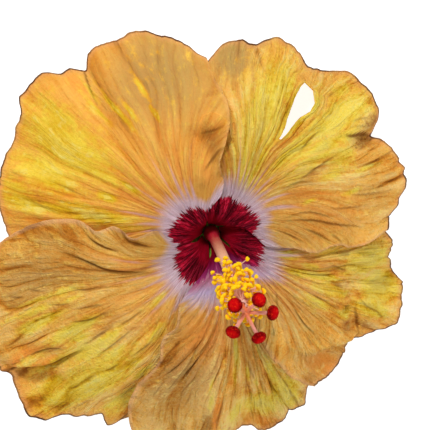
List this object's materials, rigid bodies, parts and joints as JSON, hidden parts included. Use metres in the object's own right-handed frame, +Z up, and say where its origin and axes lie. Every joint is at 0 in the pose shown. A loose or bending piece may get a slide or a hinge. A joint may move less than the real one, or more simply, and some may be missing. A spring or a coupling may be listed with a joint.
{
  "type": "hibiscus flower",
  "caption": "Open orange hibiscus bloom with overlapping wavy petals, a crimson eye, a leaning column of yellow anthers and red stigma pads, lying face up.",
  "frame": {"origin": "middle of the bloom's bounding box in plan, at the surface that it lies on", "axes": "+Z up, along the flower's axis and out of its face; +X to the picture's right; +Y to the picture's top"},
  "size_m": [0.159, 0.1559, 0.0801],
  "materials": {
    "petal": "soft matte petal, orange with yellow streaks, a lavender halo and a crimson eye",
    "calyx": "smooth green with fine down",
    "stem": "smooth green",
    "column": "moist salmon pink, with golden yellow anthers",
    "pistil": "salmon style with velvety red pads"
  },
  "bodies": {
    "root": {"petal_top_left": "petal", "petal_upper_right": "petal", "petal_lower_right": "petal", "petal_bottom": "petal", "petal_left": "petal", "calyx": "calyx", "stem": "stem", "staminal_column": "column", "pistil": "pistil"}
  },
  "joints": []
}
